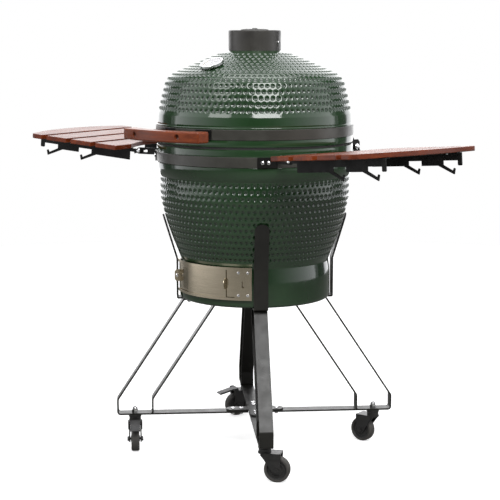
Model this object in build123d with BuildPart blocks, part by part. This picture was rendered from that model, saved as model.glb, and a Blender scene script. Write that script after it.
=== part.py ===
from build123d import *
import os
from math import sin, cos, radians, sqrt, asin, degrees

os.makedirs("parts", exist_ok=True)

# ------------------------------------------------------------------ driving dimensions (mm, +Z up)
# ceramic body: axis on X = Y = 0, front is -Y
band_r = 298.5          # outside of the two steel bands
band_in = 295.5         # inside of the bands
groove_r = 295.3        # seat of a band in the ceramic
lip_r = 296.5           # ceramic lips beside the seam
base_floor = 476.0      # underside of the base shell
base_band_z = (894.0, 924.0)
base_top = 945.0
lid_bottom = 951.5
lid_band_z = (972.0, 1002.0)
lid_top = 1222.0
gasket_t = 3.1
neck_r = 229.3          # vertical wall behind the draft door

# rear hinge
pin_y, pin_z, pin_r = 342.0, 921.0, 5.0

# handle
handle_z = (970.0, 1002.0)
handle_ro, handle_ri = 425.0, 383.0
handle_half = 152.0
handle_turn = -1.9       # turn of the handle about the axis of the body
handle_bolt_x = 86.0

# thermometer on the cone of the lid
thermo_at = (0.0, -189.7, 1179.45)
thermo_n = (0.0, -0.3809, 0.9246)
thermo_r = 35.0

# vent
vent_r, vent_z = 78.7, (1222.0, 1282.0)
petal_n, petal_r, petal_at = 5, 9.5, 25.0

# draft door: angles are measured from the front, positive towards +X
door_half = 38.5
door_z = (501.0, 598.0)
hole_a = (-27.0, 7.0)
hole_z = (515.0, 580.0)

# cart
bar_w, bar_t = 40.0, 5.0
leg_angles = {"fl": -135.0, "fr": -45.0, "rl": 135.0, "rr": 45.0}
holder_w = 42.0
stem_r = 372.0          # distance of each caster stem from the axis
wheel_r, wheel_w, trail = 38.0, 25.0, 36.0
headings = {"fl": -44.6, "fr": 29.0, "rl": 243.5, "rr": 183.6}

# side tables
yaw, tilt = 9.8, 4.6
pivot_s, pivot_z = 326.0, 917.5
rail_l = 145.0          # distance of each rail from the middle of its table
rail_t = 4.0
slat_top, slat_t = 18.0, 14.0
slat_s = [(351.0, 428.0), (445.4, 522.4), (539.8, 616.8), (634.2, 716.0)]
slat_half, slat_back = 240.5, 5.5
inner_arc, outer_arc = 382.0, 716.0


# ------------------------------------------------------------------ helpers
def radial(deg):
    """plane through the axis: local x runs outward at the angle, local y is +Z"""
    c, s = cos(radians(deg)), sin(radians(deg))
    return Plane(origin=(0, 0, 0), x_dir=(c, s, 0), z_dir=(s, -c, 0))


def facing(deg, r, z):
    """plane that looks outward at the angle: local x is tangential, local y is +Z"""
    c, s = cos(radians(deg)), sin(radians(deg))
    return Plane(origin=(r * c, r * s, z), x_dir=(-s, c, 0), z_dir=(c, s, 0))


def ring(profile, start=0.0, arc=360.0):
    """a profile of (R, z) points turned about the vertical axis"""
    with BuildPart() as turned:
        with BuildSketch(radial(start)):
            Polygon(*profile, align=None)
        revolve(axis=Axis.Z, revolution_arc=arc)
    return turned.part


def band_piece(r0, r1, z0, z1, start=0.0, arc=360.0):
    return ring([(r0, z0), (r1, z0), (r1, z1), (r0, z1)], start, arc)


def lathe(profile):
    """a small turned part standing on the origin, axis +Z"""
    with BuildPart() as turned:
        with BuildSketch(Plane.XZ):
            Polygon(*profile, align=None)
        revolve(axis=Axis.Z)
    return turned.part


def dome_bolt(head_r, head_h, shank_r, length):
    return lathe([(0, -length), (shank_r, -length), (shank_r, 0), (head_r, 0), (head_r, head_h * 0.35),
                  (head_r * 0.86, head_h * 0.72), (head_r * 0.5, head_h * 0.95), (0, head_h)])


def dome_nut(across, height, hex_h, bore):
    """dome nut with its seat at z = 0, closed end towards +Z"""
    with BuildPart() as nut:
        with BuildSketch(Plane.XY):
            RegularPolygon(across / 2, 6, major_radius=False)
        extrude(amount=hex_h)
        with BuildSketch(Plane.XZ):
            Polygon((0, hex_h), (across * 0.45, hex_h), (across * 0.45, hex_h + (height - hex_h) * 0.4),
                    (across * 0.36, hex_h + (height - hex_h) * 0.75), (across * 0.18, height - 0.4), (0, height),
                    align=None)
        revolve(axis=Axis.Z)
        if bore:
            with BuildSketch(Plane.XY):
                Circle(bore)
            extrude(amount=hex_h, mode=Mode.SUBTRACT)
    return nut.part


# ------------------------------------------------------------------ ceramic: base shell
with BuildPart() as base_shell:
    with BuildSketch(Plane.XZ):
        with BuildLine():
            Polyline((0, base_floor), (neck_r - 8, base_floor), (neck_r, base_floor + 8), (neck_r, 560), (227, 575),
                     (225, 594))
            Spline((225, 594), (239, 631), (253, 667), (270, 718), (283, 770), (286.3, 790), (287.3, 808),
                   (286.8, 831), (287, 850))
            Polyline((287, 850), (290, 855), (294, 868), (295, 873), (297, 892), (groove_r, base_band_z[0]),
                     (groove_r, base_band_z[1]), (lip_r, base_band_z[1]), (lip_r, base_top - 2),
                     (lip_r - 2, base_top), (270.3, base_top), (270, 892), (267, 873), (262, 850), (261.8, 831),
                     (262.3, 806), (258, 770), (245, 718), (228, 667), (214, 631), (200, 594), (204.3, 560),
                     (204.3, 501), (0, 501), (0, base_floor))
        make_face()
    revolve(axis=Axis.Z)
    # draft opening in the front wall
    with BuildSketch(Plane.XY.offset(hole_z[0])):
        with BuildLine():
            o = CenterArc((0, 0), 240, -90 + hole_a[0], hole_a[1] - hole_a[0])
            i = CenterArc((0, 0), 190, -90 + hole_a[0], hole_a[1] - hole_a[0])
            Line(o @ 0, i @ 0)
            Line(o @ 1, i @ 1)
        make_face()
    extrude(amount=hole_z[1] - hole_z[0], mode=Mode.SUBTRACT)
base_shell.part.label = "base_shell"
export_step(base_shell.part, "parts/base_shell.step")

# ------------------------------------------------------------------ ceramic: lid dome
thermo_plane = Plane(origin=thermo_at, x_dir=(1, 0, 0), z_dir=thermo_n)
with BuildPart() as lid_dome:
    with BuildSketch(Plane.XZ):
        with BuildLine():
            Polyline((62, lid_top), (62, 1200), (105, 1190), (150, 1172), (195, 1153), (222, 1140), (238, 1128),
                     (250, 1110), (259.6, 1086), (265, 1062), (270.5, 1038), (273, 1002), (273, lid_bottom),
                     (lip_r - 2, lid_bottom), (lip_r, lid_bottom + 2), (lip_r, lid_band_z[0]),
                     (groove_r, lid_band_z[0]), (groove_r, lid_band_z[1]), (297.2, lid_band_z[1]), (297.2, 1006.5),
                     (296, 1008), (296, 1013))
            Spline((296, 1013), (292.4, 1038), (287, 1062), (281.6, 1086), (278.2, 1098), (271.9, 1122),
                   (267, 1134), (257.8, 1146), (240, 1158), (212, 1170), (188, 1180.5), (159.5, 1193), (127, 1206),
                   (104.6, 1215))
            Polyline((104.6, 1215), (92, 1219), (82, lid_top), (62, lid_top))
        make_face()
    revolve(axis=Axis.Z)
    with BuildSketch(thermo_plane.offset(-60)):
        Circle(5.2)
    extrude(amount=90, mode=Mode.SUBTRACT)
lid_dome.part.label = "lid_dome"
export_step(lid_dome.part, "parts/lid_dome.step")

# ------------------------------------------------------------------ ceramic: inner fire bowl and spacer ring
with BuildPart() as firebox:
    with BuildSketch(Plane.XZ):
        Polygon((0, 501), (140, 501), (165, 560), (195, 640), (225, 740), (236, 800), (214, 800), (203, 740),
                (173, 640), (150, 580), (147, 575), (147, 567), (125, 567), (125, 521), (0, 521), align=None)
    revolve(axis=Axis.Z)
    with BuildSketch(Plane.XZ.offset(100)):
        with Locations((0, 541)):
            Rectangle(110, 38)
    extrude(amount=80, mode=Mode.SUBTRACT)
    for k in range(8):
        with BuildSketch(facing(22.5 + 45 * k, 140, 612)):
            Circle(8)
        extrude(amount=80, mode=Mode.SUBTRACT)
firebox.part.label = "firebox"
export_step(firebox.part, "parts/firebox.step")

with BuildPart() as fire_ring:
    with BuildSketch(Plane.XZ):
        Polygon((228, 800), (252, 800), (252, 905), (240, 905), (240, 899), (228, 899), align=None)
    revolve(axis=Axis.Z)
fire_ring.part.label = "fire_ring"
export_step(fire_ring.part, "parts/fire_ring.step")

# ------------------------------------------------------------------ grates
with BuildPart() as charcoal_grate:
    with BuildSketch(Plane.XY.offset(567)):
        Circle(143)
        for k in range(-5, 6):
            with Locations((23 * k, 0)):
                SlotOverall(2 * sqrt(128 ** 2 - (23 * k) ** 2), 11, rotation=90, mode=Mode.SUBTRACT)
        Rectangle(270, 12)
    extrude(amount=8)
charcoal_grate.part.label = "charcoal_grate"
export_step(charcoal_grate.part, "parts/charcoal_grate.step")

with BuildPart() as cooking_grate:
    with BuildSketch(Plane.XY.offset(905)):
        Circle(251)
        Circle(243, mode=Mode.SUBTRACT)
    extrude(amount=7)
    for k in range(-8, 9):
        half = sqrt(246 ** 2 - (27.0 * k) ** 2)
        with BuildSketch(Plane.YZ.offset(-half)):
            with Locations((27.0 * k, 908.5)):
                Circle(2.6)
        extrude(amount=2 * half)
    with BuildSketch(Plane.XZ.offset(-246)):
        with Locations((0, 907.3)):
            Circle(2.2)
    extrude(amount=492)
cooking_grate.part.label = "cooking_grate"
export_step(cooking_grate.part, "parts/cooking_grate.step")

# ------------------------------------------------------------------ felt gaskets
with BuildPart() as base_gasket:
    add(band_piece(272, 294, base_top, base_top + gasket_t))
base_gasket.part.label = "base_gasket"
export_step(base_gasket.part, "parts/base_gasket.step")

with BuildPart() as lid_gasket:
    add(band_piece(274, 294, lid_bottom - gasket_t, lid_bottom))
lid_gasket.part.label = "lid_gasket"
export_step(lid_gasket.part, "parts/lid_gasket.step")

# ------------------------------------------------------------------ bands, with the bolt holes of every bracket on them
hinge_bolt_a = [90 + a for a in (-19, -10, 10, 19)]
table_bolt_a = [-yaw - 35.45, -yaw - 32.15, -yaw + 32.15, -yaw + 35.45]
table_bolt_a = table_bolt_a + [180 - a for a in table_bolt_a]
base_bolt_a = hinge_bolt_a + table_bolt_a
foot_a = degrees(asin(handle_bolt_x / 300.0))
handle_foot_bolts = [-90 + side * (foot_a + d) for side in (-1, 1) for d in (-6.4, -2.4)]
lid_bolt_a = hinge_bolt_a + [a + handle_turn for a in handle_foot_bolts]
base_bolt_z = sum(base_band_z) / 2
lid_bolt_z = sum(lid_band_z) / 2

with BuildPart() as base_band:
    add(band_piece(band_in, band_r, base_band_z[0], base_band_z[1], 90.5, 359.0))
    for a in base_bolt_a:
        with BuildSketch(facing(a, 290, base_bolt_z)):
            Circle(3)
        extrude(amount=20, mode=Mode.SUBTRACT)
    chamfer(base_band.edges().filter_by(GeomType.CIRCLE).group_by(SortBy.LENGTH)[-1], length=0.8)
base_band.part.label = "base_band"
export_step(base_band.part, "parts/base_band.step")

with BuildPart() as lid_band:
    add(band_piece(band_in, band_r, lid_band_z[0], lid_band_z[1], 90.5, 359.0))
    for a in lid_bolt_a:
        with BuildSketch(facing(a, 290, lid_bolt_z)):
            Circle(3)
        extrude(amount=20, mode=Mode.SUBTRACT)
    chamfer(lid_band.edges().filter_by(GeomType.CIRCLE).group_by(SortBy.LENGTH)[-1], length=0.8)
lid_band.part.label = "lid_band"
export_step(lid_band.part, "parts/lid_band.step")

# ------------------------------------------------------------------ rear hinge
with BuildPart() as hinge_base_bracket:
    add(band_piece(band_r, band_r + 3, base_band_z[0], base_band_z[1], 63.5, 53.0))
    for x0 in (122, -127):
        with BuildSketch(Plane.YZ.offset(x0)):
            Polygon((273, 894), (335, 894), (394, 876), (404, 877), (408, 884), (408, 893), (401, 900), (368, 906),
                    (364, 911), (364, 934), (356, 942), (326, 942), (296, 924), (273, 924), align=None)
        extrude(amount=5)
    with BuildSketch(Plane.YZ.offset(-127)):
        with Locations((398, 888)):
            Circle(6)
    extrude(amount=254)
    with BuildSketch(Plane.YZ.offset(-130)):
        with Locations((pin_y, pin_z)):
            Circle(pin_r)
    extrude(amount=260, mode=Mode.SUBTRACT)
    for a in hinge_bolt_a:
        with BuildSketch(facing(a, 290, base_bolt_z)):
            Circle(3)
        extrude(amount=20, mode=Mode.SUBTRACT)
hinge_base_bracket.part.label = "hinge_base_bracket"
export_step(hinge_base_bracket.part, "parts/hinge_base_bracket.step")

with BuildPart() as hinge_lid_bracket:
    add(band_piece(band_r, band_r + 3, lid_band_z[0], lid_band_z[1], 65.5, 49.0))
    for x0 in (112, -117):
        with BuildSketch(Plane.YZ.offset(x0)):
            Polygon((277.5, 1000), (298, 1000), (343, 948), (356, 934), (360, 921), (355, 910), (342, 905.5),
                    (329, 911), (277.5, 974), align=None)
        extrude(amount=5)
    with BuildSketch(Plane.YZ.offset(-130)):
        with Locations((pin_y, pin_z)):
            Circle(pin_r + 0.05)
    extrude(amount=260, mode=Mode.SUBTRACT)
    for a in hinge_bolt_a:
        with BuildSketch(facing(a, 290, lid_bolt_z)):
            Circle(3)
        extrude(amount=20, mode=Mode.SUBTRACT)
hinge_lid_bracket.part.label = "hinge_lid_bracket"
export_step(hinge_lid_bracket.part, "parts/hinge_lid_bracket.step")

with BuildPart() as hinge_pin:
    with BuildSketch(Plane.YZ.offset(-127)):
        with Locations((pin_y, pin_z)):
            Circle(pin_r)
    extrude(amount=254)
    for pl in (Plane(origin=(127, pin_y, pin_z), z_dir=(1, 0, 0)), Plane(origin=(-127, pin_y, pin_z), z_dir=(-1, 0, 0))):
        with Locations(pl):
            add(dome_nut(17, 13, 6.5, 0))
hinge_pin.part.label = "hinge_pin"
export_step(hinge_pin.part, "parts/hinge_pin.step")

with BuildPart() as hinge_springs:
    for x0 in (24, -104):
        with BuildSketch(Plane.YZ.offset(x0)):
            with Locations((pin_y, pin_z)):
                Circle(11)
                Circle(pin_r + 0.5, mode=Mode.SUBTRACT)
        extrude(amount=80)
hinge_springs.part.label = "hinge_springs"
export_step(hinge_springs.part, "parts/hinge_springs.step")

# ------------------------------------------------------------------ handle
seat_y = -378.0
head_y = -407.0
with BuildPart() as handle_bar:
    with BuildSketch(Plane.XY.offset(handle_z[0])):
        Circle(handle_ro)
        Circle(handle_ri, mode=Mode.SUBTRACT)
        with Locations((0, -395)):
            Rectangle(2 * handle_half, 110, mode=Mode.INTERSECT)
    extrude(amount=handle_z[1] - handle_z[0])
    fillet(handle_bar.edges(), radius=5)
    for side in (-1, 1):
        with BuildSketch(Plane.XY.offset(handle_z[0] - 1)):
            with Locations((side * handle_bolt_x, (seat_y - 360) / 2)):
                Rectangle(37, seat_y * -1 - 360)
        extrude(amount=40, mode=Mode.SUBTRACT)
        with BuildSketch(Plane.XZ.offset(370)):
            with Locations((side * handle_bolt_x, lid_bolt_z)):
                Circle(4)
        extrude(amount=60, mode=Mode.SUBTRACT)
        with BuildSketch(Plane.XZ.offset(-head_y - 4)):
            with Locations((side * handle_bolt_x, lid_bolt_z)):
                Circle(8)
        extrude(amount=20, mode=Mode.SUBTRACT)
    add(Rot(0, 0, handle_turn) * handle_bar.part, mode=Mode.REPLACE)
handle_bar.part.label = "handle_bar"
export_step(handle_bar.part, "parts/handle_bar.step")

with BuildPart() as handle_brackets:
    for side in (-1, 1):
        mid = -90 + side * (foot_a - 3.5)
        add(band_piece(band_r, band_r + 3, lid_band_z[0] + 1, lid_band_z[1] - 1, mid - 4.9, 9.8))
        with BuildSketch(Plane.XY.offset(lid_bolt_z - 11)):
            with Locations((side * handle_bolt_x, (-288.2 + seat_y + 4) / 2)):
                Rectangle(4, -seat_y - 4 - 288.2)
        extrude(amount=22)
        with BuildSketch(Plane.XY.offset(lid_bolt_z - 13)):
            with Locations((side * handle_bolt_x, seat_y + 2)):
                Rectangle(36, 4)
        extrude(amount=26)
        # the arm is notched around the nut
        with BuildSketch(Plane.XZ.offset(364)):
            with Locations((side * handle_bolt_x, lid_bolt_z)):
                Rectangle(16, 16)
        extrude(amount=10, mode=Mode.SUBTRACT)
        with BuildSketch(Plane.XZ.offset(370)):
            with Locations((side * handle_bolt_x, lid_bolt_z)):
                Circle(4)
        extrude(amount=12, mode=Mode.SUBTRACT)
    for a in handle_foot_bolts:
        with BuildSketch(facing(a, 290, lid_bolt_z)):
            Circle(3)
        extrude(amount=20, mode=Mode.SUBTRACT)
    add(Rot(0, 0, handle_turn) * handle_brackets.part, mode=Mode.REPLACE)
handle_brackets.part.label = "handle_brackets"
export_step(handle_brackets.part, "parts/handle_brackets.step")

# ------------------------------------------------------------------ bolts on the bands
strap_bolt = dome_bolt(5.5, 3.4, 3.0, band_r + 3 - band_in)
pivot_planes = []
for side in (1, -1):
    o = (side * cos(radians(yaw)), -sin(radians(yaw)), 0)
    b = (side * sin(radians(yaw)), cos(radians(yaw)), 0)
    for end in (1, -1):
        out = (b[0] * end, b[1] * end, 0)
        pivot_planes.append(Plane(origin=(o[0] * pivot_s + out[0] * (rail_l + 2.3), o[1] * pivot_s + out[1] * (rail_l + 2.3),
                                          pivot_z), x_dir=o, z_dir=out))
with BuildPart() as base_bolts:
    for a in base_bolt_a:
        with Locations(facing(a, band_r + 3, base_bolt_z)):
            add(strap_bolt)
    pivot_bolt = lathe([(0, -13.8), (6, -13.8), (6, -8.8), (3, -8.8), (3, 0), (6.5, 0), (6.5, 1.2), (5.4, 3), (3, 3.9),
                        (0, 4.1)])
    for pl in pivot_planes:
        with Locations(pl):
            add(pivot_bolt)
base_bolts.part.label = "base_bolts"
export_step(base_bolts.part, "parts/base_bolts.step")

with BuildPart() as lid_bolts:
    for a in lid_bolt_a:
        with Locations(facing(a, band_r + 3, lid_bolt_z)):
            add(strap_bolt)
    grip_bolt = lathe([(0, -42), (7, -42), (7, -33), (4, -33), (4, -4), (7.8, -0.2), (7.8, 0), (0, 0)])
    for side in (-1, 1):
        with Locations(Rot(0, 0, handle_turn) * Plane(origin=(side * handle_bolt_x, head_y, lid_bolt_z), x_dir=(1, 0, 0),
                                                      z_dir=(0, -1, 0)).location):
            add(grip_bolt)
lid_bolts.part.label = "lid_bolts"
export_step(lid_bolts.part, "parts/lid_bolts.step")

# ------------------------------------------------------------------ thermometer
with BuildPart() as thermo_case:
    with Locations(thermo_plane):
        add(lathe([(0, -58), (4.4, -56), (4.4, 2), (34, 2.6), (thermo_r, 4), (thermo_r, 10.8), (34.2, 11.6), (30.6, 11.6),
                   (29.6, 11.0), (31, 11.0), (31, 6), (29, 6), (29, 4), (0, 4)]))
thermo_case.part.label = "thermo_case"
export_step(thermo_case.part, "parts/thermo_case.step")

with BuildPart() as thermo_dial:
    with Locations(thermo_plane):
        add(lathe([(1.05, 6), (30.9, 6), (30.9, 6.8), (1.05, 6.8)]))
thermo_dial.part.label = "thermo_dial"
export_step(thermo_dial.part, "parts/thermo_dial.step")

with BuildPart() as thermo_glass:
    with Locations(thermo_plane):
        add(lathe([(0, 9.8), (30.9, 9.8), (30.9, 10.95), (0, 10.95)]))
thermo_glass.part.label = "thermo_glass"
export_step(thermo_glass.part, "parts/thermo_glass.step")

with BuildPart() as thermo_needle:
    with BuildSketch(thermo_plane.offset(7.5)):
        Circle(3)
        Polygon((-8, -9.5), (-6.5, -10.5), (20.5, 17.6), (19.6, 18.6), align=None)
    extrude(amount=0.8)
    with BuildSketch(thermo_plane.offset(4.6)):
        Circle(1.0)
    extrude(amount=3.2)
thermo_needle.part.label = "thermo_needle"
export_step(thermo_needle.part, "parts/thermo_needle.step")

# ------------------------------------------------------------------ top vent
with BuildPart() as vent_base:
    with BuildSketch(Plane.XZ):
        Polygon((57, 1212), (61.4, 1212), (61.4, vent_z[0]), (vent_r, vent_z[0]), (vent_r, vent_z[1] - 2.5),
                (vent_r - 2.5, vent_z[1]), (3.05, vent_z[1]), (3.05, vent_z[1] - 4), (vent_r - 4, vent_z[1] - 4),
                (vent_r - 4, vent_z[0] + 4), (57, vent_z[0] + 4), align=None)
    revolve(axis=Axis.Z)
    with BuildSketch(Plane.XY.offset(vent_z[1] - 5)):
        with PolarLocations(petal_at, petal_n, start_angle=18):
            Circle(petal_r)
    extrude(amount=8, mode=Mode.SUBTRACT)
    with BuildSketch(facing(12.4, 70, 1246)):
        Circle(2.5)
    extrude(amount=12, mode=Mode.SUBTRACT)
vent_base.part.label = "vent_base"
export_step(vent_base.part, "parts/vent_base.step")

with BuildPart() as vent_cap:
    with BuildSketch(Plane.XZ):
        Polygon((0, 1275), (6.5, 1275), (6.5, 1277.6), (3, 1277.6), (3, vent_z[1] + 0.3), (42, vent_z[1] + 0.3),
                (42, 1284), (38, 1285.4), (26, 1286.2), (12, 1286.4), (8, 1286.4), (7.6, 1288), (6.6, 1288.5), (0, 1288.5),
                align=None)
    revolve(axis=Axis.Z)
    with BuildSketch(Plane.XY.offset(vent_z[1] - 1)):
        with PolarLocations(petal_at, petal_n, start_angle=18 + 14):
            Circle(petal_r)
    extrude(amount=12, mode=Mode.SUBTRACT)
vent_cap.part.label = "vent_cap"
export_step(vent_cap.part, "parts/vent_cap.step")

with BuildPart() as vent_screw:
    with Locations(facing(12.4, vent_r, 1246)):
        add(lathe([(0, -7), (2.5, -7), (2.5, 0), (4.8, 0), (4.8, 2.6), (4, 3.6), (0, 3.8)]))
vent_screw.part.label = "vent_screw"
export_step(vent_screw.part, "parts/vent_screw.step")

# ------------------------------------------------------------------ draft door
front = -90.0
rivet_at = [(a, z) for a in (29.0, 35.6) for z in (516.0, 583.0)]
with BuildPart() as door_frame:
    add(band_piece(neck_r, 232, door_z[0], door_z[1], front - door_half, 2 * door_half))
    with BuildSketch(Plane.XY.offset(hole_z[0])):
        with BuildLine():
            o = CenterArc((0, 0), 234, front + hole_a[0], hole_a[1] - hole_a[0])
            i = CenterArc((0, 0), 225, front + hole_a[0], hole_a[1] - hole_a[0])
            Line(o @ 0, i @ 0)
            Line(o @ 1, i @ 1)
        make_face()
    extrude(amount=hole_z[1] - hole_z[0], mode=Mode.SUBTRACT)
    # channels above and below the slides
    add(ring([(231.9, door_z[0]), (238, door_z[0]), (238, door_z[0] + 8), (236.8, door_z[0] + 8),
              (236.8, door_z[0] + 3), (231.9, door_z[0] + 3)], front - door_half, 2 * door_half))
    add(ring([(231.9, door_z[1]), (238, door_z[1]), (238, door_z[1] - 8), (236.8, door_z[1] - 8),
              (236.8, door_z[1] - 3), (231.9, door_z[1] - 3)], front - door_half, 2 * door_half))
    # riveted end plate with its bent tab
    add(band_piece(236.9, 238.8, door_z[0] + 1, door_z[1] - 1, front + 26.3, 12.1))
    add(band_piece(238.0, 247.0, 532, 566, front + 37.9, 0.45))
    with BuildSketch(facing(front + 32.5, 234, 549)):
        SlotOverall(22, 9, rotation=90)
    extrude(amount=8, mode=Mode.SUBTRACT)
    for a, z in rivet_at:
        with BuildSketch(facing(front + a, 225, z)):
            Circle(2.2)
        extrude(amount=20, mode=Mode.SUBTRACT)
door_frame.part.label = "door_frame"
export_step(door_frame.part, "parts/door_frame.step")

with BuildPart() as door_rivets:
    rivet = dome_bolt(4.6, 2.8, 2.2, 9.0)
    for a, z in rivet_at:
        with Locations(facing(front + a, 238.8, z)):
            add(rivet)
door_rivets.part.label = "door_rivets"
export_step(door_rivets.part, "parts/door_rivets.step")

with BuildPart() as door_slide:
    add(band_piece(235, 236.2, door_z[0] + 3.6, door_z[1] - 3.6, front - 16.5, 36.0))
    with BuildSketch(radial(front + 19.2)):
        with Locations((235.6, 549)):
            Circle(16)
        with Locations((215.6, 549)):
            Rectangle(40, 60, mode=Mode.SUBTRACT)
    extrude(amount=0.7, both=True)
door_slide.part.label = "door_slide"
export_step(door_slide.part, "parts/door_slide.step")

with BuildPart() as door_screen:
    add(band_piece(233, 234, door_z[0] + 3.6, door_z[1] - 3.6, front - 37.5, 57.0))
    for k in range(17):
        with BuildSketch(facing(front - 25.6 + 1.25 * k, 230, 547.5)):
            with GridLocations(5, 5.1, 1, 13 if k % 2 else 12):
                Circle(1.7)
        extrude(amount=6, mode=Mode.SUBTRACT)
    # sheet-metal pull at its left end
    with BuildSketch(radial(front - 33.5)):
        with BuildLine():
            Polyline((233.5, 531), (247, 531), (252, 537), (252, 561), (247, 567), (233.5, 567), (233.5, 531))
        make_face()
    extrude(amount=0.8, both=True)
    with BuildSketch(Plane(origin=radial(front - 33.5).from_local_coords((244, 549, -4)), x_dir=(0, 0, 1),
                           z_dir=radial(front - 33.5).z_dir)):
        Circle(2.5)
    extrude(amount=8, mode=Mode.SUBTRACT)
door_screen.part.label = "door_screen"
export_step(door_screen.part, "parts/door_screen.step")

with BuildPart() as door_pull_screw:
    pull = radial(front - 33.5)
    with Locations(Plane(origin=pull.from_local_coords((244, 549, -0.8)), x_dir=(0, 0, 1), z_dir=-pull.z_dir)):
        add(lathe([(0, -5), (4.6, -5), (4.6, -1.6), (2.5, -1.6), (2.5, 0), (5.5, 0), (5.5, 2.0), (4.2, 3.2), (0, 3.6)]))
door_pull_screw.part.label = "door_pull_screw"
export_step(door_pull_screw.part, "parts/door_pull_screw.step")

# ------------------------------------------------------------------ cart: cradle straps
holder_bolt_r = (170.0, 202.0)
with BuildPart() as holders:
    for name, ang in leg_angles.items():
        with BuildSketch(radial(ang)):
            Polygon((150, 471), (240, 471), (240, 592), (281.5, 729), (276.7, 730.5), (235, 593.5), (235, 476),
                    (150, 476), align=None)
        extrude(amount=holder_w / 2, both=True)
    fillet(holders.edges().filter_by(lambda e: e.length < 5.6 and e.center().Z > 700), radius=18)
    fillet(holders.edges().filter_by(lambda e: abs(e.length - holder_w) < 0.1 and abs(e.center().Z - 471) < 0.1
                                     and (e.center().X ** 2 + e.center().Y ** 2) ** 0.5 > 230), radius=5)
    for ang in leg_angles.values():
        for r in holder_bolt_r:
            x, y = r * cos(radians(ang)), r * sin(radians(ang))
            with BuildSketch(Plane.XY.offset(470)):
                with Locations((x, y)):
                    Circle(3)
            extrude(amount=7, mode=Mode.SUBTRACT)
            with BuildSketch(Plane.XY.offset(473.4)):
                with Locations((x, y)):
                    Circle(6.1)
            extrude(amount=3, mode=Mode.SUBTRACT)
holders.part.label = "holders"
export_step(holders.part, "parts/holders.step")

# ------------------------------------------------------------------ cart: four bent flat-bar loops
cross_bolt_r = (42.0, 68.0)
for name, ang in leg_angles.items():
    with BuildPart() as leg:
        with BuildSketch(radial(ang)) as loop:
            Polygon((427, 108), (427, 157.5), (220, 471), (107, 471), (314.5, 157.5), (314.5, 108), align=None)
            fillet(loop.vertices(), radius=11)
            offset(amount=-bar_t, mode=Mode.SUBTRACT)
        extrude(amount=bar_w / 2, both=True)
        with BuildSketch(radial(ang)):
            Polygon((21, 108), (340, 108), (340, 113), (21, 113), align=None)
        extrude(amount=bar_w / 2, both=True)
        for r in cross_bolt_r:
            with BuildSketch(Plane.XY.offset(107)):
                with Locations((r * cos(radians(ang)), r * sin(radians(ang)))):
                    Circle(3)
            extrude(amount=8, mode=Mode.SUBTRACT)
        for r in holder_bolt_r:
            with BuildSketch(Plane.XY.offset(465)):
                with Locations((r * cos(radians(ang)), r * sin(radians(ang)))):
                    Circle(3)
            extrude(amount=8, mode=Mode.SUBTRACT)
        with BuildSketch(Plane.XY.offset(107)):
            with Locations((stem_r * cos(radians(ang)), stem_r * sin(radians(ang)))):
                Circle(5.1)
        extrude(amount=8, mode=Mode.SUBTRACT)
    leg.part.label = "leg_" + name
    export_step(leg.part, "parts/leg_" + name + ".step")

with BuildPart() as cross_plate:
    with BuildSketch(Plane.XY.offset(113)):
        SlotOverall(178, bar_w, rotation=45)
        SlotOverall(178, bar_w, rotation=-45)
        with PolarLocations(cross_bolt_r[0], 4, start_angle=45):
            Circle(3, mode=Mode.SUBTRACT)
        with PolarLocations(cross_bolt_r[1], 4, start_angle=45):
            Circle(3, mode=Mode.SUBTRACT)
    extrude(amount=5)
cross_plate.part.label = "cross_plate"
export_step(cross_plate.part, "parts/cross_plate.step")

with BuildPart() as cart_bolts:
    cross_bolt = dome_bolt(6.5, 4.2, 3.0, 10.0)
    low_nut = dome_nut(11, 9.5, 5.5, 0)
    stem_nut = dome_nut(17, 19, 9, 0)
    strap_screw = lathe([(0, -10.9), (3, -10.9), (3, -2.5), (5.9, -2.5), (5.9, -0.1), (0, -0.1)])
    for ang in leg_angles.values():
        for r in cross_bolt_r:
            x, y = r * cos(radians(ang)), r * sin(radians(ang))
            with Locations(Plane(origin=(x, y, 118))):
                add(cross_bolt)
            with Locations(Plane(origin=(x, y, 108), z_dir=(0, 0, -1))):
                add(low_nut)
        for r in holder_bolt_r:
            x, y = r * cos(radians(ang)), r * sin(radians(ang))
            with Locations(Plane(origin=(x, y, 476))):
                add(strap_screw)
            with Locations(Plane(origin=(x, y, 466), z_dir=(0, 0, -1))):
                add(low_nut)
        with Locations(Plane(origin=(stem_r * cos(radians(ang)), stem_r * sin(radians(ang)), 113))):
            add(stem_nut)
cart_bolts.part.label = "cart_bolts"
export_step(cart_bolts.part, "parts/cart_bolts.step")

# ------------------------------------------------------------------ casters
with BuildPart() as caster_stems:
    stem = lathe([(0, 79.4), (9, 79.4), (9, 83.6), (5, 83.6), (5, 99), (18.5, 99), (19.5, 100), (19.5, 107), (18.5, 108),
                  (5, 108), (5, 113), (0, 113)])
    for ang in leg_angles.values():
        x, y = stem_r * cos(radians(ang)), stem_r * sin(radians(ang))
        with Locations(Plane(origin=(x, y, 0))):
            add(stem)
caster_stems.part.label = "caster_stems"
export_step(caster_stems.part, "parts/caster_stems.step")

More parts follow.
